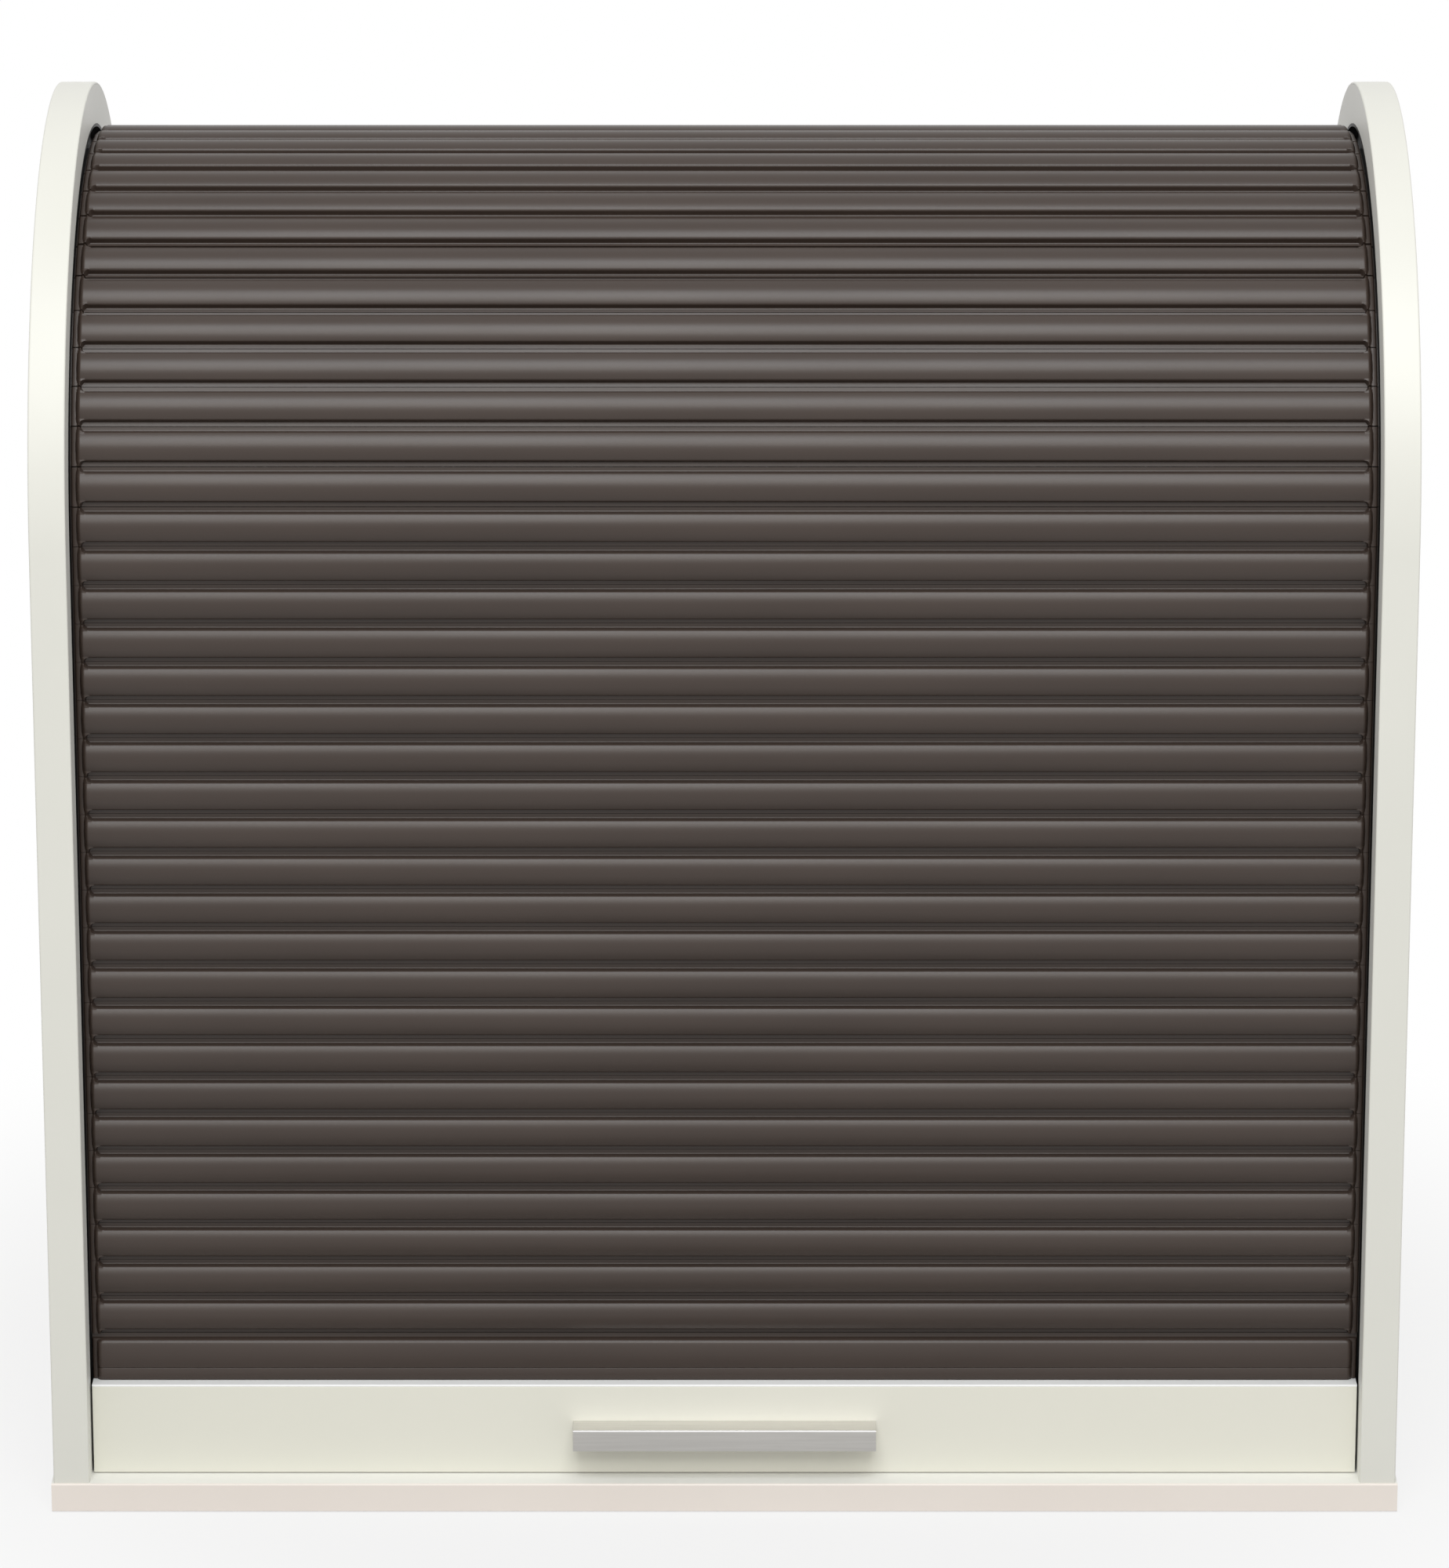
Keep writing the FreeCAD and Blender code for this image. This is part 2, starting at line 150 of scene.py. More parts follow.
# A profile in (y, z) carried along x. At both ends it shrinks along its own normals by the end rounding
# times one minus the sine of a quarter turn, while x moves in by that rounding times one minus the cosine.
def carryAlongX(profile, left, right, endRound, endSteps=5):
    following = np.roll(profile, -1, axis=0)
    along = following - np.roll(profile, 1, axis=0)
    normal = np.stack([along[:, 1], -along[:, 0]], axis=1)
    normal = normal / np.linalg.norm(normal, axis=1, keepdims=True)
    area = (profile[:, 0] * following[:, 1] - following[:, 0] * profile[:, 1]).sum()
    normal = normal * np.sign(area)
    turn = quarterTurn(endSteps)
    inset = endRound * (1 - np.sin(turn))
    step = endRound * (1 - np.cos(turn))
    x = np.concatenate([left + step, right - step[::-1]])
    inset = np.concatenate([inset, inset[::-1]])
    ring = profile[None] - normal[None] * inset[:, None, None]
    return np.concatenate([np.broadcast_to(x[:, None, None], ring.shape[:2] + (1,)), ring], axis=2)


# A bar with all its edges rounded: a rounded rectangle carried along x.
def roundedBar(left, right, front, rear, bottom, top, edge):
    outline = roundCorners(rectangle(front, rear, bottom, top), edge)
    return carryAlongX(outline, left, right, edge)


# materials

patchSpread = (0.32, 0.68)      # noise at which a patch has its full dark or light shade
toothSpread = (0.3, 0.7)        # noise at which the tooth is smoothest or roughest
evenShare = 0.5                 # fine and slow noise count the same in the gloss


def newGroup(name, inputs, outputs):
    group = bpy.data.node_groups.new(name, "ShaderNodeTree")
    for label, kind, value in inputs:
        socket = group.interface.new_socket(label, in_out="INPUT", socket_type=kind)
        socket.default_value = value
    for label, kind in outputs:
        group.interface.new_socket(label, in_out="OUTPUT", socket_type=kind)
    entry = group.nodes.new("NodeGroupInput")
    leave = group.nodes.new("NodeGroupOutput")
    return group, entry, leave


def addNode(tree, kind, **settings):
    node = tree.nodes.new(kind)
    for key, value in settings.items():
        if key in node.inputs:
            node.inputs[key].default_value = value
        else:
            setattr(node, key, value)
    return node


# slow patches that lead from one shade to another
def makePatchGroup():
    group, entry, leave = newGroup(
        "tonePatches",
        [
            ("Light", "NodeSocketColor", (0.8, 0.8, 0.8, 1)),
            ("Dark", "NodeSocketColor", (0.7, 0.7, 0.7, 1)),
            ("Scale", "NodeSocketFloat", 6.0),
            ("Stretch", "NodeSocketVector", (1, 1, 1)),
        ],
        [("Color", "NodeSocketColor"), ("Mask", "NodeSocketFloat")],
    )
    place = addNode(group, "ShaderNodeTexCoord")
    mapping = addNode(group, "ShaderNodeMapping")
    noise = addNode(group, "ShaderNodeTexNoise", Detail=4.0, Roughness=0.55)
    spread = addNode(group, "ShaderNodeMapRange")
    spread.inputs["From Min"].default_value, spread.inputs["From Max"].default_value = patchSpread
    mix = addNode(group, "ShaderNodeMix", data_type="RGBA")     # its colours are inputs 6, 7 and output 2
    link = group.links.new
    link(place.outputs["Object"], mapping.inputs["Vector"])
    link(entry.outputs["Stretch"], mapping.inputs["Scale"])
    link(mapping.outputs["Vector"], noise.inputs["Vector"])
    link(entry.outputs["Scale"], noise.inputs["Scale"])
    link(noise.outputs["Fac"], spread.inputs["Value"])
    link(spread.outputs["Result"], mix.inputs[0])
    link(entry.outputs["Dark"], mix.inputs[6])
    link(entry.outputs["Light"], mix.inputs[7])
    link(mix.outputs[2], leave.inputs["Color"])
    link(spread.outputs["Result"], leave.inputs["Mask"])
    return group


# small pebbled tooth of a pressed or moulded face, and the gloss that goes with it
def makeToothGroup():
    group, entry, leave = newGroup(
        "surfaceTooth",
        [
            ("Scale", "NodeSocketFloat", 900.0),
            ("Stretch", "NodeSocketVector", (1, 1, 1)),
            ("Smooth", "NodeSocketFloat", 0.4),
            ("Rough", "NodeSocketFloat", 0.5),
        ],
        [("Height", "NodeSocketFloat"), ("Gloss", "NodeSocketFloat")],
    )
    place = addNode(group, "ShaderNodeTexCoord")
    mapping = addNode(group, "ShaderNodeMapping")
    fine = addNode(group, "ShaderNodeTexNoise", Detail=3.0, Roughness=0.6)
    slow = addNode(group, "ShaderNodeTexNoise", Scale=9.0, Detail=3.0, Roughness=0.5)
    slowHalf = addNode(group, "ShaderNodeMath", operation="MULTIPLY")
    slowHalf.inputs[1].default_value = evenShare
    total = addNode(group, "ShaderNodeMath", operation="MULTIPLY_ADD")
    total.inputs[1].default_value = evenShare
    gloss = addNode(group, "ShaderNodeMapRange")
    gloss.inputs["From Min"].default_value, gloss.inputs["From Max"].default_value = toothSpread
    link = group.links.new
    link(place.outputs["Object"], mapping.inputs["Vector"])
    link(entry.outputs["Stretch"], mapping.inputs["Scale"])
    link(mapping.outputs["Vector"], fine.inputs["Vector"])
    link(entry.outputs["Scale"], fine.inputs["Scale"])
    link(place.outputs["Object"], slow.inputs["Vector"])
    link(slow.outputs["Fac"], slowHalf.inputs[0])
    link(fine.outputs["Fac"], total.inputs[0])
    link(slowHalf.outputs["Value"], total.inputs[2])
    link(total.outputs["Value"], gloss.inputs["Value"])
    link(entry.outputs["Smooth"], gloss.inputs["To Min"])
    link(entry.outputs["Rough"], gloss.inputs["To Max"])
    link(fine.outputs["Fac"], leave.inputs["Height"])
    link(gloss.outputs["Result"], leave.inputs["Gloss"])
    return group


patchGroup = makePatchGroup()
toothGroup = makeToothGroup()


# One finish: patches feed the colour, the tooth feeds the roughness and a bump.
def makeFinish(
    name, light, dark, patch, tooth, smooth, rough, depth, metallic=0.0, stretch=(1, 1, 1), level=0.5
):
    material = bpy.data.materials.new(name)
    material.use_nodes = True
    tree = material.node_tree
    shader = tree.nodes["Principled BSDF"]
    shader.inputs["Metallic"].default_value = metallic
    shader.inputs["Specular IOR Level"].default_value = level
    tone = addNode(tree, "ShaderNodeGroup", node_tree=patchGroup)
    tone.inputs["Light"].default_value = (*light, 1)
    tone.inputs["Dark"].default_value = (*dark, 1)
    tone.inputs["Scale"].default_value = patch
    tone.inputs["Stretch"].default_value = stretch
    grain = addNode(tree, "ShaderNodeGroup", node_tree=toothGroup)
    grain.inputs["Scale"].default_value = tooth
    grain.inputs["Stretch"].default_value = stretch
    grain.inputs["Smooth"].default_value = smooth
    grain.inputs["Rough"].default_value = rough
    bump = addNode(tree, "ShaderNodeBump", Strength=1.0)
    bump.inputs["Distance"].default_value = depth * millimetre
    tree.links.new(tone.outputs["Color"], shader.inputs["Base Color"])
    tree.links.new(grain.outputs["Gloss"], shader.inputs["Roughness"])
    tree.links.new(grain.outputs["Height"], bump.inputs["Height"])
    tree.links.new(bump.outputs["Normal"], shader.inputs["Normal"])
    return material


alongX = (0.02, 1, 1)       # stretches a pattern into lines along x
# Two shades, the scales of patches and tooth, least and most roughness, and the bump's depth in millimetres.
finishLooks = dict(
    boardWhite=dict(
        light=(0.83, 0.83, 0.79), dark=(0.80, 0.80, 0.76), patch=5.0,
        tooth=1300.0, smooth=0.42, rough=0.52, depth=0.012,
    ),
    railWhite=dict(
        light=(0.795, 0.785, 0.70), dark=(0.765, 0.76, 0.675), patch=5.0,
        tooth=1300.0, smooth=0.40, rough=0.50, depth=0.012,
    ),
    stripWhite=dict(
        light=(0.735, 0.735, 0.68), dark=(0.71, 0.71, 0.655), patch=8.0,
        tooth=1600.0, smooth=0.36, rough=0.46, depth=0.008,
    ),
    # Rail's top strip: its own white, made whiter and cooler as painted light from above where the curtain's
    # overhang shades it.
    edgeWhitePaintedLight=dict(
        light=(0.92, 0.93, 0.93), dark=(0.90, 0.91, 0.91), patch=8.0,
        tooth=1600.0, smooth=0.36, rough=0.46, depth=0.008,
    ),
    baseWhite=dict(
        light=(0.845, 0.785, 0.73), dark=(0.815, 0.75, 0.695), patch=6.0,
        tooth=1600.0, smooth=0.38, rough=0.48, depth=0.008,
    ),
    curtainGrey=dict(
        light=(0.0465, 0.0324, 0.0257), dark=(0.0400, 0.0277, 0.0219), patch=30.0,
        tooth=2600.0, smooth=0.33, rough=0.41, depth=0.014, stretch=(0.25, 1, 1), level=0.42,
    ),
    trackBlack=dict(
        light=(0.016, 0.015, 0.015), dark=(0.011, 0.0105, 0.0105), patch=25.0,
        tooth=2200.0, smooth=0.45, rough=0.58, depth=0.008,
    ),
    handleSilver=dict(
        light=(0.75, 0.735, 0.71), dark=(0.68, 0.665, 0.64), patch=900.0,
        tooth=2600.0, smooth=0.30, rough=0.40, depth=0.006, metallic=1.0, stretch=alongX,
    ),
    backboard=dict(
        light=(0.74, 0.74, 0.70), dark=(0.70, 0.70, 0.66), patch=7.0,
        tooth=700.0, smooth=0.50, rough=0.62, depth=0.02,
    ),
    screwSteel=dict(
        light=(0.60, 0.60, 0.58), dark=(0.50, 0.50, 0.48), patch=400.0,
        tooth=3000.0, smooth=0.28, rough=0.42, depth=0.004, metallic=1.0,
    ),
    camZinc=dict(
        light=(0.56, 0.57, 0.58), dark=(0.45, 0.46, 0.47), patch=300.0,
        tooth=1800.0, smooth=0.35, rough=0.52, depth=0.01, metallic=1.0,
    ),
    dowelBeech=dict(
        light=(0.55, 0.38, 0.22), dark=(0.44, 0.28, 0.15), patch=350.0,
        tooth=1500.0, smooth=0.55, rough=0.7, depth=0.02, stretch=(0.08, 1, 1),
    ),
    glideGrey=dict(
        light=(0.10, 0.10, 0.10), dark=(0.08, 0.08, 0.08), patch=40.0,
        tooth=2000.0, smooth=0.35, rough=0.45, depth=0.006,
    ),
    bufferRubber=dict(
        light=(0.35, 0.35, 0.34), dark=(0.30, 0.30, 0.29), patch=60.0,
        tooth=1500.0, smooth=0.6, rough=0.75, depth=0.01,
    ),
)
finishes = {name: makeFinish(name, **look) for name, look in finishLooks.items()}
print("finishes made:", len(finishes))


def dress(piece, finish, body, slotName, *nodes):
    piece.data.materials.append(finishes[finish])
    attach(piece, body)
    if nodes:
        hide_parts(*nodes)


# curtain slats

firstSlat, secondSlat = nodeBox("slat_01"), nodeBox("slat_02")
trackBox = nodeBox("left_guide_track")
slat = dict(
    crownRadius=11.0,
    crownHalf=30.5,         # degrees each side of the middle
    face=5.7,               # crown above the middle of the sheet
    shoulder=1.6,
    foot=0.7,
    sheet=0.8,              # half the sheet's thickness
    halfFlange=8.52,
    halfFlangeRear=8.2,     # pairs that hang straight behind tilt towards each other
    hollowHalf=4.4,
    hollowTop=3.2,
    roofDrop=0.3,           # keeps the hollow's roof below the outside where the rib sinks
    ribEnd=280.3,
    ribRound=2.3,
    notch=0.7,              # how far the end draws in between two ribs
    flangeEnd=firstSlat["right"],
    grooveEnd=277.8,        # where a groove's round end stops
    grooveHalf=2.35,
    bridge=3.3,             # height above the sheet past a groove's end
    bridgeRise=0.9,
    ledge=1.8,              # height above the sheet between the ribs' ends and the panel
    ledgeEnd=282.3,
    ledgeRound=0.8,
    evenAt=(0, 120, 240, 272),      # stations on the even stretch, from the middle outwards
)
slatSteps = dict(crown=7, shoulder=8, foot=5, flange=5, rise=14, dip=10, drop=5)    # points on each stretch
curtainRun = dict(
    front=firstSlat["front"] + slat["face"],                    # middle of the sheet on the straight front
    centre=(trackBox["front"] + trackBox["rear"]) / 2,          # of the half circle
    pitch=secondSlat["bottom"] - firstSlat["bottom"],
    firstMiddle=(firstSlat["bottom"] + firstSlat["top"]) / 2,
)
curtainRun["radius"] = curtainRun["centre"] - curtainRun["front"]
slatCount = dict(front=21, arch=7, rearPairs=10)


# Place on the curtain's run for a distance past the start of the arch: straight up, round the half circle,
# straight down. Gives the point, the outward direction and the direction of travel, each as (y, z).
def onRun(travel):
    travel = np.asarray(travel, float)
    radius = curtainRun["radius"]
    turn = np.clip(travel / radius, 0, np.pi)
    below = np.minimum(travel, 0)
    past = np.maximum(travel - np.pi * radius, 0)
    y = curtainRun["centre"] - radius * np.cos(turn)
    z = cabinet["archStart"] + radius * np.sin(turn) + below - past
    point = np.stack([y, z], axis=-1)
    outward = np.stack([-np.cos(turn), np.sin(turn)], axis=-1)
    forward = np.stack([np.sin(turn), np.cos(turn)], axis=-1)
    return point, outward, forward


# Half the slat's outline in (travel, outward): a crown arc, a shoulder arc down to the wall, a hollow
# arc at the foot, then the flat flange; the other half is its mirror image, and the inside is a plain box.
# Gives the outline and the number of points on the outside of one half.
def slatOutline(halfFlange):
    s, steps = slat, slatSteps
    lean = np.radians(s["crownHalf"])
    crown = np.linspace(0, lean, steps["crown"])
    crownDrop = s["crownRadius"] * (1 - np.cos(crown))
    arc = np.stack([s["crownRadius"] * np.sin(crown), s["face"] - crownDrop], axis=1)
    centre = arc[-1] - s["shoulder"] * np.array([np.sin(lean), np.cos(lean)])
    turn = np.linspace(lean, np.pi / 2, steps["shoulder"])[1:]
    shoulder = centre + s["shoulder"] * np.stack([np.sin(turn), np.cos(turn)], axis=1)
    swing = quarterTurn(steps["foot"])
    foot = s["foot"] * np.stack([1 - np.cos(swing), 1 - np.sin(swing)], axis=1)
    foot = foot + (shoulder[-1, 0], s["sheet"])
    flat = np.linspace(foot[-1, 0], halfFlange, steps["flange"])[1:]
    flange = np.stack([flat, np.full_like(flat, s["sheet"])], axis=1)
    inside = np.array([
        (halfFlange, -s["sheet"]),
        (s["hollowHalf"], -s["sheet"]),
        (s["hollowHalf"], s["hollowTop"]),
    ])
    half = np.concatenate([arc, shoulder, foot, flange, inside])
    return np.concatenate([half, (half * [-1, 1])[:0:-1]]), len(half) - len(inside)


# The slat's skin over (x, place in the outline). Past the half-round end of a groove the surface climbs,
# by a smooth step, to a bridge that joins the ribs. Ribs and bridges sink along a quarter ellipse, a
# little earlier between two ribs, to a low ledge that ends in a quarter round before the panel.
# Gives (x, travel, outward).
def slatSkin(halfFlange):
    s, steps = slat, slatSteps
    sheet = s["sheet"]
    outline, outer = slatOutline(halfFlange)
    across, out = outline[:, 0], outline[:, 1]
    order = np.arange(len(outline))
    isOutside = (order < outer) | (order > len(outline) - outer)
    rise = np.linspace(s["grooveEnd"] - s["grooveHalf"], s["grooveEnd"] + s["bridgeRise"], steps["rise"])
    dip = crowdTo(s["ribEnd"], s["ribRound"] + s["notch"], steps["dip"])
    drop = crowdTo(s["ledgeEnd"], s["ledgeRound"], steps["drop"])
    end = np.unique(np.concatenate([s["evenAt"], rise, dip, drop, [s["flangeEnd"]]]).round(3))
    x = np.concatenate([-end[:0:-1], end])[:, None]
    far = np.abs(x)
    fromMiddle = np.clip((curtainRun["pitch"] / 2 - np.abs(across)) / s["grooveHalf"], 0, 1)
    mouth = s["grooveEnd"] - s["grooveHalf"] * (1 - quarterEllipse(fromMiddle))
    climb = np.clip((far - mouth) / s["bridgeRise"], 0, 1)
    climb = climb * climb * (3 - 2 * climb)
    top = np.maximum(out, sheet + s["bridge"] * climb)
    keep = quarterEllipse((far - s["ribEnd"] + s["notch"] * (1 - fromMiddle)) / s["ribRound"] + 1)
    ledge = s["ledge"] * climb * quarterEllipse((far - s["ledgeEnd"]) / s["ledgeRound"] + 1)
    outside = sheet + np.maximum((top - sheet) * keep, ledge)
    inside = np.minimum(out, sheet + (out - sheet) * keep - s["roofDrop"] * (out > 0))
    outward = np.where(isOutside, outside, inside)
    shape = outward.shape
    return np.stack([np.broadcast_to(x, shape), np.broadcast_to(across, shape), outward], axis=2)


# Skins set on the run: each point is the slat's place plus travel and outward along its own directions.
def seatSlats(numbers, skin):
    run = curtainRun
    travel = run["firstMiddle"] + run["pitch"] * (np.asarray(numbers) - 1) - cabinet["archStart"]
    point, outward, forward = onRun(travel)
    spots = (
        point[:, None, None, :]
        + forward[:, None, None, :] * skin[None, :, :, 1:2]
        + outward[:, None, None, :] * skin[None, :, :, 2:3]
    )
    x = np.broadcast_to(skin[None, :, :, 0:1], spots.shape[:3] + (1,))
    return list(np.concatenate([x, spots], axis=3))


frontSkin = slatSkin(slat["halfFlange"])
rearSkin = slatSkin(slat["halfFlangeRear"])
for number in range(1, slatCount["front"] + 1):
    node = f"slat_{number:02d}"
    body = "closing_rail" if number == 1 else node      # the first slat goes with the rail
    piece = tubesToMesh(node + "_skin", seatSlats([number], frontSkin))
    dress(piece, "curtainGrey", body, "curtain_plastic", node)
firstArch = slatCount["front"] + 1
firstRear = firstArch + slatCount["arch"]
archSkin = tubesToMesh("arch_slats_skin", seatSlats(range(firstArch, firstRear), frontSkin))
dress(archSkin, "curtainGrey", "arch_slats", "curtain_plastic", "arch_slats")
for pair in range(slatCount["rearPairs"]):
    node = f"rear_slats_{pair + 1:02d}"
    number = firstRear + 2 * pair
    piece = tubesToMesh(node + "_skin", seatSlats([number, number + 1], rearSkin))
    dress(piece, "curtainGrey", node, "curtain_plastic", node)
print("curtain slats made")


# lead slat and closing rail

railBox = nodeBox("closing_rail")
closingRail = dict(
    half=railBox["right"],
    front=railBox["front"],
    rear=railBox["rear"],
    top=railBox["top"],
    bottom=13.4,            # leaves a fine gap above the base
    edge=0.3,
    strip=0.8,              # thickness of the strip along the upper edge
    stripEdges=(0.05, 0.05, 0.5, 0.5),      # front foot, rear foot, rear top, front top
    stripEnd=0.05,
)
leadSlat = dict(
    bottom=nodeBox("lead_slat")["bottom"],  # foot of the tongue in the rail's slot
    tongueClear=0.5,        # where the tongue turns outwards, below the rail's top
    stripFace=4.6,
    stripFoot=((0, 0.2), (0.3, 0.8)),       # outward past that face, up from the rail's top
    stripTop=60.8,          # faint line above the flat strip
    stripHead=((0.35, -0.4), (0.1, 0)),     # outward past that face, up from the line
    line=0.5,               # from the strip's top to the rib's foot
    lineFoot=(-0.25, -0.2),                 # from the rib's foot
    crownRise=4.2,          # crown's highest place above the rib's foot
    crownRadius=22.0,
    crownDrop=1.75,         # where the crown ends, below the rib's top
    ribTop=74.1,
    ribHead=((0.6, 0.05), (0.15, 0.25), (0, 0.7)),  # outward past the sheet, up from the rib's top
    top=76.2,
    flangeEnd=282.3,
    evenAt=(0, 140, 270),   # stations on the even stretch, from the middle outwards
)
leadSteps = dict(crown=12, shoulder=8, dip=12, drop=5)      # points on each stretch


# Outline in (outward, z): tongue, flat strip, fine line, crowned rib with a round upper shoulder, flange;
# the back is flat. Near the ends the rib sinks to the ledge along a quarter ellipse, drawn in at its
# upper corners.
def makeLeadSlat():
    s, steps = leadSlat, leadSteps
    sheet, ribEnd, ribRound = slat["sheet"], slat["ribEnd"], slat["ribRound"]
    ribFoot, ribTop = s["stripTop"] + s["line"], s["ribTop"]
    middle = ribFoot + s["crownRise"]
    crownEnd = ribTop - s["crownDrop"]
    z = np.linspace(ribFoot, crownEnd, steps["crown"])
    crownOut = slat["face"] - s["crownRadius"] + np.sqrt(s["crownRadius"] ** 2 - (z - middle) ** 2)
    crown = np.stack([crownOut, z], axis=1)
    lean = np.arcsin((crownEnd - middle) / s["crownRadius"])
    turn = np.linspace(lean, np.pi / 2, steps["shoulder"])[1:]
    radius = (ribTop - crownEnd) / (1 - np.sin(lean))
    hub = crown[-1] - radius * np.array([np.cos(lean), np.sin(lean)])
    shoulder = hub + radius * np.stack([np.cos(turn), np.sin(turn)], axis=1)
    outline = np.concatenate([
        [(sheet, s["bottom"]), (sheet, closingRail["top"] - s["tongueClear"])],
        np.add(s["stripFoot"], (s["stripFace"], closingRail["top"])),
        np.add(s["stripHead"], (s["stripFace"], s["stripTop"])),
        [crown[0] + s["lineFoot"]],
        crown,
        shoulder,
        np.add(s["ribHead"], (sheet, ribTop)),
        [(sheet, s["top"]), (-sheet, s["top"]), (-sheet, s["bottom"])],
    ])
    dip = crowdTo(ribEnd, 2 * ribRound, steps["dip"])
    drop = crowdTo(s["flangeEnd"], slat["ledgeRound"], steps["drop"])
    end = np.concatenate([s["evenAt"], dip, drop])
    x = np.concatenate([-end[:0:-1], end])[:, None]
    far = np.abs(x)
    out, z = outline[:, 0], outline[:, 1]
    drawIn = 1 - quarterEllipse((z - ribTop) / ribRound + 1)
    keep = quarterEllipse((far - ribEnd) / ribRound + 1 + drawIn)
    ledge = slat["ledge"] * quarterEllipse((far - s["flangeEnd"]) / slat["ledgeRound"] + 1)
    sunk = sheet + np.maximum((out - sheet) * keep, np.minimum(out - sheet, ledge))
    outward = np.where(out > sheet, sunk, out)
    shape = outward.shape
    skin = [np.broadcast_to(x, shape), curtainRun["front"] - outward, np.broadcast_to(z, shape)]
    return tubesToMesh("lead_slat_skin", [np.stack(skin, axis=2)])


def makeRailBoard():
    r = closingRail
    bar = roundedBar(
        -r["half"], r["half"], r["front"], r["rear"], r["bottom"], r["top"] - r["strip"], r["edge"]
    )
    return tubesToMesh("closing_rail_board", [bar])


# A flat rectangle, rounder above, carried along x.
def makeRailStrip():
    r = closingRail
    corners = rectangle(r["front"], r["rear"], r["top"] - r["strip"], r["top"])
    section = roundCorners(corners, r["stripEdges"], support=thinSupport)
    strip = carryAlongX(section, -r["half"], r["half"], r["stripEnd"])
    return tubesToMesh("closing_rail_top_strip", [strip])


dress(makeLeadSlat(), "curtainGrey", "closing_rail", "curtain_plastic", "lead_slat")
dress(makeRailBoard(), "railWhite", "closing_rail", "white_board", "closing_rail")
# The top strip takes the white with painted light from above.
dress(makeRailStrip(), "edgeWhitePaintedLight", "closing_rail", "edge_strip")


# pull handle

handleBox = nodeBox("pull_handle")
handle = dict(
    half=handleBox["right"],
    front=handleBox["front"],
    rear=handleBox["rear"],
    bottom=handleBox["bottom"],             # foot of the lip
    top=handleBox["top"],
    wall=2.5,
    edges=(0.4, 0.4, 0.8, 0.2, 0.2, 0.6),   # from the lip's front foot round to its front top
    endRound=0.2,
    foot=7.0,               # length of the block under each end
    footInset=0.15,
    footDrop=7.5,
    footEdge=0.4,
    footOverlap=0.5,        # how far the block runs into plate and lip
)


# An angle of plate and lip carried along x, with a rounded block under the plate at each end.
def makeHandle():
    h = handle
    underside, behindLip = h["top"] - h["wall"], h["front"] + h["wall"]
    section = roundCorners(
        [
            (h["front"], h["bottom"]), (behindLip, h["bottom"]), (behindLip, underside),
            (h["rear"], underside), (h["rear"], h["top"]), (h["front"], h["top"]),
        ],
        h["edges"],
    )
    bars = [carryAlongX(section, -h["half"], h["half"], h["endRound"])]
    for side in (-1, 1):
        left, right = sorted([side * h["half"], side * (h["half"] - h["foot"])])
        bars.append(
            roundedBar(
                left + h["footInset"], right - h["footInset"],
                behindLip - h["footOverlap"], h["rear"],
                underside - h["footDrop"], underside + h["footOverlap"],
                h["footEdge"],
            )
        )
    return tubesToMesh("pull_handle_bar", bars)


dress(makeHandle(), "handleSilver", "closing_rail", "handle_aluminium", "pull_handle")
print("closing rail, lead slat and handle made")


# edge strips

edgeStrip = dict(
    thick=1.0,
    outerEdge=0.85,
    gluedEdge=0.05,
    straightSteps=12,
    arcSteps=121,
)
frontStrip = dict(
    finishes=dict(base_edge_band="baseWhite", shelf_edge_band="stripWhite"),
    edges=(0.3, 0.05, 0.05, 0.8),           # front foot, rear foot, rear top, front top
    endRound=0.05,
)


# The strip's section in (x, depth below the panel's edge) carried up the front edge and round the half
# circle: a point turns about the arch's centre at the arch's radius less its depth, and on the straight
# the turn is nothing and the centre's level rises.
def makeEdgeStrip(name, side):
    c, s = cabinet, edgeStrip
    section = roundCorners(
        rectangle(c["halfInside"], c["halfWidth"], 0, s["thick"]),
        [s["outerEdge"], s["outerEdge"], s["gluedEdge"], s["gluedEdge"]],
        support=thinSupport,
    )
    x, depth = section[:, 0], section[:, 1]
    straight = np.linspace(c["baseTop"], c["archStart"], s["straightSteps"])
    arc = np.linspace(0, np.pi, s["arcSteps"])[1:]
    turn = np.concatenate([np.zeros_like(straight), arc])[:, None]
    level = np.concatenate([straight, np.full_like(arc, c["archStart"])])[:, None]
    y = c["archCentre"] - (c["archRadius"] - depth) * np.cos(turn)
    z = level + (c["archRadius"] - depth) * np.sin(turn)
    skin = np.stack([np.broadcast_to(side * x, y.shape), y, z], axis=2)
    return tubesToMesh(name, [skin])


# A rounded rectangle carried along x.
def makeFrontStrip(name, box):
    corners = rectangle(box["front"], box["rear"], box["bottom"], box["top"])
    section = roundCorners(corners, frontStrip["edges"], support=thinSupport)
    strip = carryAlongX(section, box["left"], box["right"], frontStrip["endRound"])
    return tubesToMesh(name, [strip])


for label, side in (("left", -1), ("right", 1)):
    node = label + "_edge_band"
    dress(makeEdgeStrip(node + "_strip", side), "stripWhite", "carcass", "edge_strip", node)
for node, finish in frontStrip["finishes"].items():
    dress(makeFrontStrip(node + "_strip", nodeBox(node)), finish, "carcass", "edge_strip", node)
print("edge strips made")


# finishes on the pieces that keep their own solids

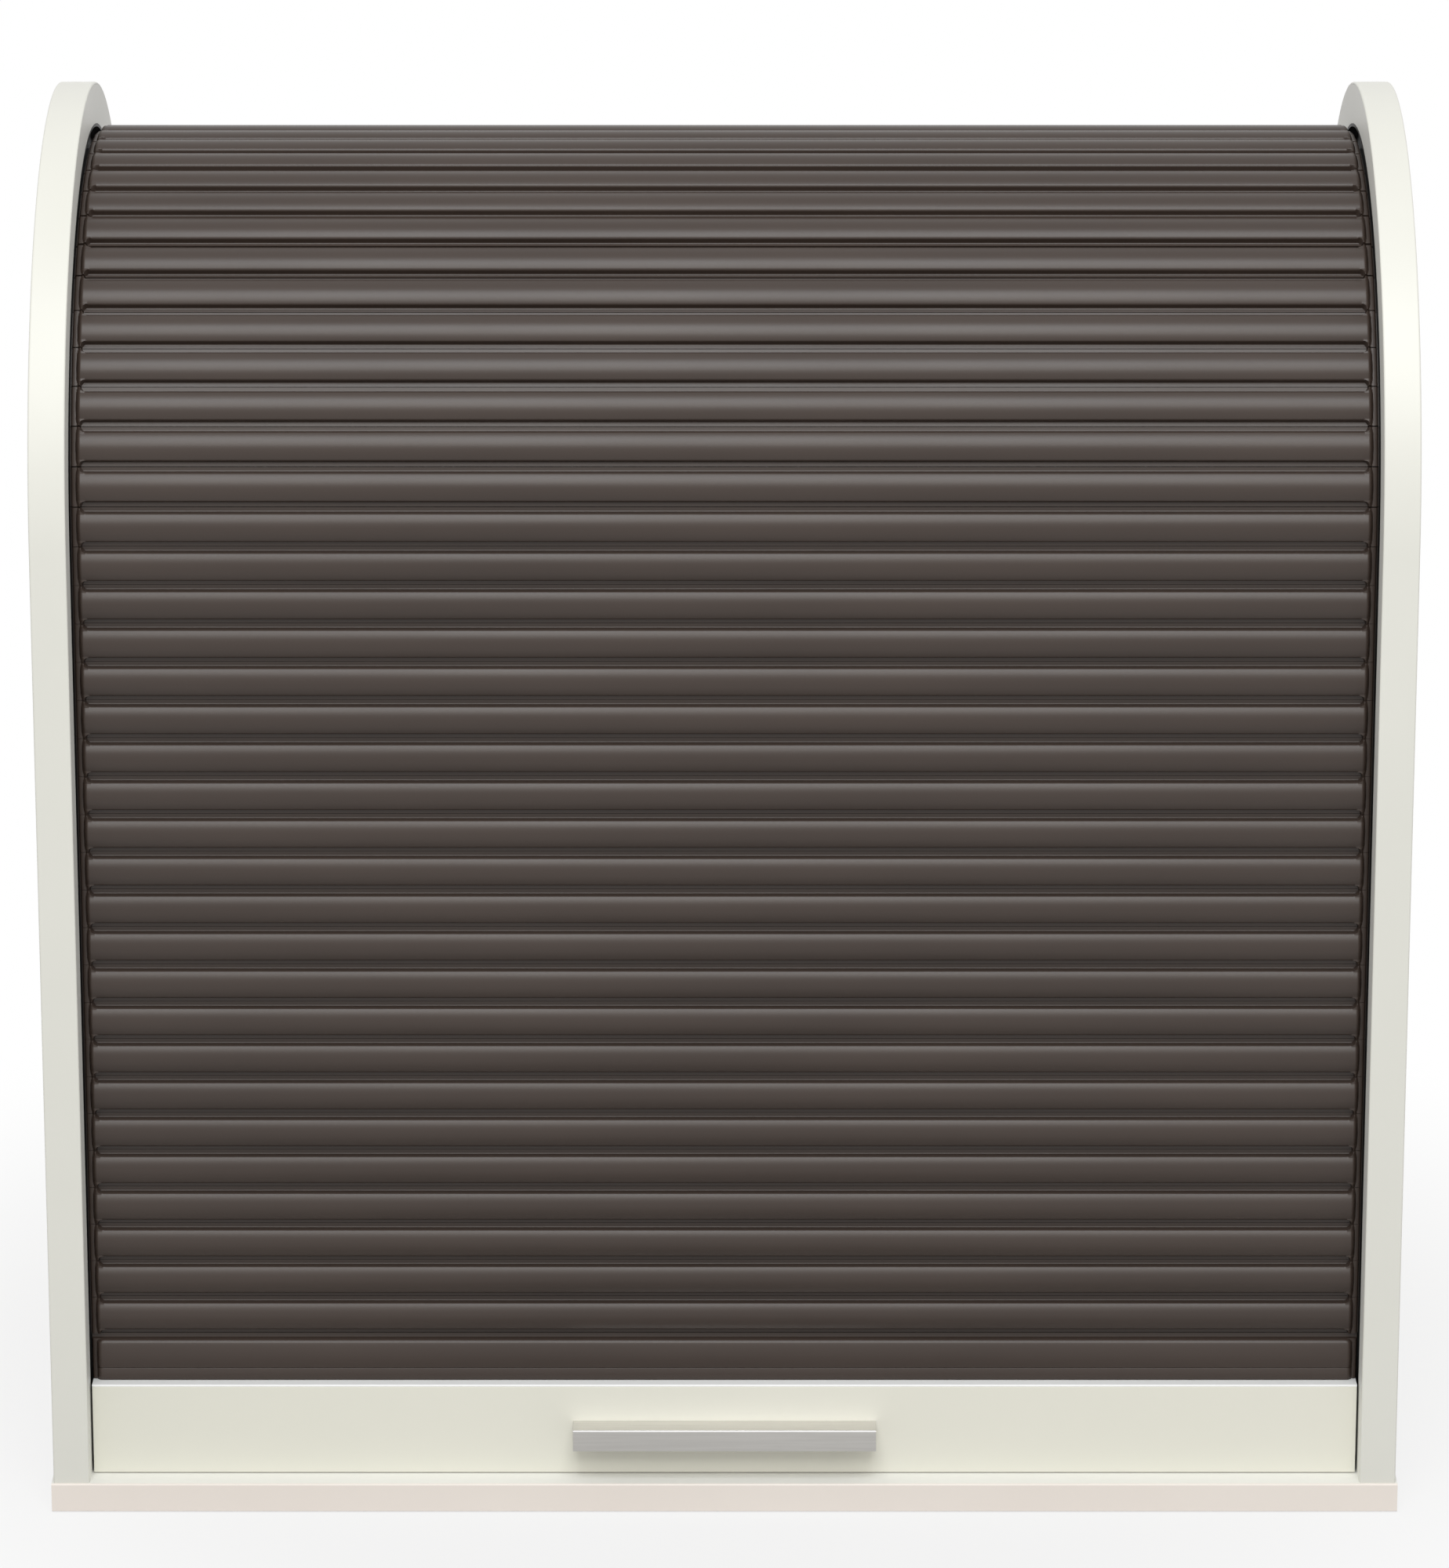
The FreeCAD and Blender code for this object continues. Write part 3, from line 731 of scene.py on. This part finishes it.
keptPieces = dict(
    boardWhite=["left_side_panel", "right_side_panel", "base_board", "top_board", "shelf"],
    backboard=["inner_back_panel", "rear_panel"],
    trackBlack=["left_guide_track", "right_guide_track"],
    screwSteel=[
        "base_screws", "rear_panel_screws", "handle_screws", "lead_slat_screws", "shelf_pins", "cam_bolts",
    ],
    camZinc=["cam_housings"],
    dowelBeech=["wood_dowels"],
    glideGrey=["rail_glides"],
    bufferRubber=["rail_buffers"],
)
for finish, nodes in keptPieces.items():
    for node in nodes:
        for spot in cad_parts[node].material_slots:
            spot.material = finishes[finish]
print("finishes set on", sum(len(nodes) for nodes in keptPieces.values()), "kept pieces")


# floor, light and camera

stage = dict(               # distances in metres
    half=6.0,               # half the floor's side
    drop=0.0006,            # floor below the object's underside
    paper=0.58,             # grey of the floor as it lights the object
    clear=0.25,             # distance from the middle up to which the floor is lit and shadowed
    white=0.62,             # distance from which it is plain white
    nearGlow=0.78,          # share of that white that the camera sees close to the object
    aim=0.35,               # height that the lamps point at
    sky=0.62,               # strength of the soft light from all round
    skyColor=(1.0, 0.985, 0.96),
)
lamps = dict(               # power in watts, size and distance in metres, lift in degrees
    ceilingLamp=dict(power=29.0, size=(1.6, 1.1), lift=53.0, away=2.7, color=(0.95, 0.975, 1.0)),
    frontLamp=dict(power=22.0, size=(1.9, 0.85), lift=33.0, away=3.0, color=(1.0, 0.98, 0.95)),
)
viewpoint = dict(
    away=3000.0,            # before the panels
    above=1170.0,           # above the base
    pitch=15.75,            # degrees down
    focal=9170.0,           # in pixels of the picture
    longSide=2000.0,        # the picture's long side in pixels
    sensor=36.0,            # width in millimetres
    clipEnd=100.0,          # in metres
)


# Floor: lit and shadowed near the object, and white like the background further out, by distance from the
# middle. The camera sees part of that white close to the object too.
def makeFloor():
    corners = np.array(rectangle(-stage["half"], stage["half"], -stage["half"], stage["half"]))
    points = np.concatenate([corners, np.full((len(corners), 1), -stage["drop"])], axis=1)
    mesh = bpy.data.meshes.new("studioFloor")
    mesh.from_pydata(points.tolist(), [], [(0, 1, 2, 3)])
    floor = addObject("studioFloor", mesh)
    material = bpy.data.materials.new("floorWhite")
    material.use_nodes = True
    tree = material.node_tree
    tree.nodes.clear()
    paper = addNode(tree, "ShaderNodeBsdfDiffuse")
    paper.inputs["Color"].default_value = (stage["paper"], stage["paper"], stage["paper"], 1)
    glow = addNode(tree, "ShaderNodeEmission", Strength=1.0)
    place = addNode(tree, "ShaderNodeTexCoord")
    length = addNode(tree, "ShaderNodeVectorMath", operation="LENGTH")
    spread = addNode(tree, "ShaderNodeMapRange", interpolation_type="SMOOTHSTEP")
    spread.inputs["From Min"].default_value = stage["clear"]
    spread.inputs["From Max"].default_value = stage["white"]
    path = addNode(tree, "ShaderNodeLightPath")
    bounced = addNode(tree, "ShaderNodeMath", operation="MAXIMUM")
    mirrored = addNode(tree, "ShaderNodeMath", operation="MULTIPLY")
    near = addNode(tree, "ShaderNodeMath", operation="MULTIPLY_ADD")
    near.inputs[1].default_value = 1 - stage["nearGlow"]
    near.inputs[2].default_value = stage["nearGlow"]
    seen = addNode(tree, "ShaderNodeMath", operation="MULTIPLY")
    share = addNode(tree, "ShaderNodeMath", operation="MAXIMUM")
    mix = addNode(tree, "ShaderNodeMixShader")
    leave = addNode(tree, "ShaderNodeOutputMaterial")
    link = tree.links.new
    link(place.outputs["Object"], length.inputs[0])
    link(length.outputs["Value"], spread.inputs["Value"])
    link(path.outputs["Is Glossy Ray"], bounced.inputs[0])
    link(path.outputs["Is Transmission Ray"], bounced.inputs[1])
    link(bounced.outputs["Value"], mirrored.inputs[0])
    link(spread.outputs["Result"], mirrored.inputs[1])
    link(spread.outputs["Result"], near.inputs[0])
    link(path.outputs["Is Camera Ray"], seen.inputs[0])
    link(near.outputs["Value"], seen.inputs[1])
    link(seen.outputs["Value"], share.inputs[0])
    link(mirrored.outputs["Value"], share.inputs[1])
    link(share.outputs["Value"], mix.inputs["Fac"])
    link(paper.outputs["BSDF"], mix.inputs[1])
    link(glow.outputs["Emission"], mix.inputs[2])
    link(mix.outputs["Shader"], leave.inputs["Surface"])
    mesh.materials.append(material)


# Sky: soft light on the object, and plain white where the camera or a reflection looks into it.
def makeSky():
    world = bpy.data.worlds.new("studioSky")
    bpy.context.scene.world = world
    world.use_nodes = True
    tree = world.node_tree
    tree.nodes.clear()
    ambient = addNode(tree, "ShaderNodeBackground", Strength=stage["sky"])
    ambient.inputs["Color"].default_value = (*stage["skyColor"], 1)
    white = addNode(tree, "ShaderNodeBackground", Strength=1.0)
    white.inputs["Color"].default_value = (1, 1, 1, 1)
    path = addNode(tree, "ShaderNodeLightPath")
    seen = addNode(tree, "ShaderNodeMath", operation="MAXIMUM")
    both = addNode(tree, "ShaderNodeMath", operation="MAXIMUM")
    mix = addNode(tree, "ShaderNodeMixShader")
    leave = addNode(tree, "ShaderNodeOutputWorld")
    link = tree.links.new
    link(path.outputs["Is Camera Ray"], seen.inputs[0])
    link(path.outputs["Is Glossy Ray"], seen.inputs[1])
    link(seen.outputs["Value"], both.inputs[0])
    link(path.outputs["Is Transmission Ray"], both.inputs[1])
    link(both.outputs["Value"], mix.inputs["Fac"])
    link(ambient.outputs["Background"], mix.inputs[1])
    link(white.outputs["Background"], mix.inputs[2])
    link(mix.outputs["Shader"], leave.inputs["Surface"])


def makeLamp(name, lamp):
    data = bpy.data.lights.new(name, "AREA")
    data.shape = "RECTANGLE"
    data.size, data.size_y = lamp["size"]
    data.energy = lamp["power"]
    data.color = lamp["color"]
    lift = np.radians(lamp["lift"])
    fixture = addObject(name, data)
    fixture.location = (0, -lamp["away"] * np.cos(lift), stage["aim"] + lamp["away"] * np.sin(lift))
    fixture.rotation_euler = (np.pi / 2 - lift, 0, 0)


def makeCamera():
    v = viewpoint
    data = bpy.data.cameras.new("photoCamera")
    data.sensor_width = v["sensor"]
    data.lens = v["focal"] * v["sensor"] / v["longSide"]
    data.clip_end = v["clipEnd"]
    camera = addObject("photoCamera", data)
    y, z = cabinet["panelFront"] - v["away"], cabinet["baseTop"] + v["above"]
    camera.location = (0, y * millimetre, z * millimetre)
    camera.rotation_euler = (np.radians(90 - v["pitch"]), 0, 0)
    bpy.context.scene.camera = camera


makeFloor()
makeSky()
for name, lamp in lamps.items():
    makeLamp(name, lamp)
makeCamera()
bpy.context.scene.view_settings.view_transform = "Standard"
print("floor, light and camera made")
